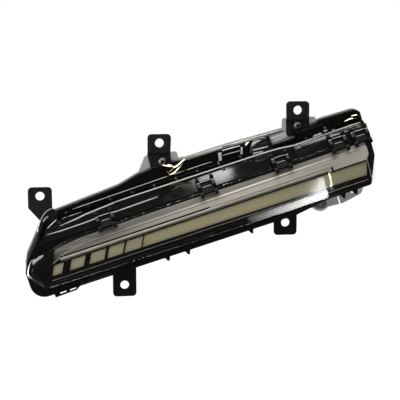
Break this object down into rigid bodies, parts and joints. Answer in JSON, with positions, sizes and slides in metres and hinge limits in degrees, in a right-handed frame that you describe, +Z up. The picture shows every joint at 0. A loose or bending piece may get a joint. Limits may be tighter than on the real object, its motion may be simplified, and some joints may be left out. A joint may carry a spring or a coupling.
{
  "type": "daytime running light",
  "caption": "Long slanted front lamp with a clear lens over a light strip, a black frame, a grey rear housing and drilled steel tabs.",
  "frame": {"origin": "middle of the fixing hole in the inner upper bracket, on its front face", "axes": "+X along the lamp to its outer end, +Y back into the car, +Z up"},
  "size_m": [0.3507, 0.106, 0.1981],
  "materials": {
    "grey_plastic": "satin moulded grey",
    "black_gloss": "glossy black",
    "clear_lens": "clear polycarbonate",
    "bezel_black": "glossy black",
    "reflector_grey": "satin metallised grey",
    "light_guide": "clear acrylic",
    "diffuser": "milky smoked",
    "white_plastic": "matt white",
    "circuit_board": "solder resist",
    "white_board": "white solder resist",
    "chip": "phosphor",
    "electronics": "moulded parts",
    "die_cast": "as cast",
    "gasket": "matt",
    "cover_black": "matt black",
    "bracket_black": "matt black coat",
    "clip_black": "black",
    "zinc_screw": "zinc plated",
    "tinned_pin": "tinned",
    "membrane": "white membrane"
  },
  "bodies": {
    "root": {"rear_housing": "grey_plastic", "front_frame": "black_gloss", "outer_lens": "clear_lens", "lens_seal": "gasket", "inner_bezel": "bezel_black", "reflector_band": "reflector_grey", "light_guide_rod": "light_guide", "rod_channel": "white_plastic", "rod_led_board": "white_board", "diffuser_bar": "diffuser", "mixing_trough": "white_plastic", "led_board": "white_board", "led_chips": "chip", "heat_sink": "die_cast", "heat_sink_seal": "gasket", "heat_sink_screws": "zinc_screw", "driver_board": "circuit_board", "driver_parts": "electronics", "driver_cover": "cover_black", "driver_cover_seal": "gasket", "driver_cover_screws": "zinc_screw", "connector_body": "cover_black", "connector_pins": "tinned_pin", "service_cap": "cover_black", "service_cap_seal": "gasket", "breather_cap": "cover_black", "breather_membrane": "membrane", "frame_screws": "zinc_screw", "bracket_a": "bracket_black", "bracket_b": "bracket_black", "bracket_c": "bracket_black", "bracket_d": "bracket_black", "bracket_e": "bracket_black", "bracket_screws": "zinc_screw", "lens_clip_1": "clip_black", "lens_clip_2": "clip_black", "lens_clip_3": "clip_black", "lens_clip_4": "clip_black", "lens_clip_5": "clip_black"}
  },
  "joints": []
}
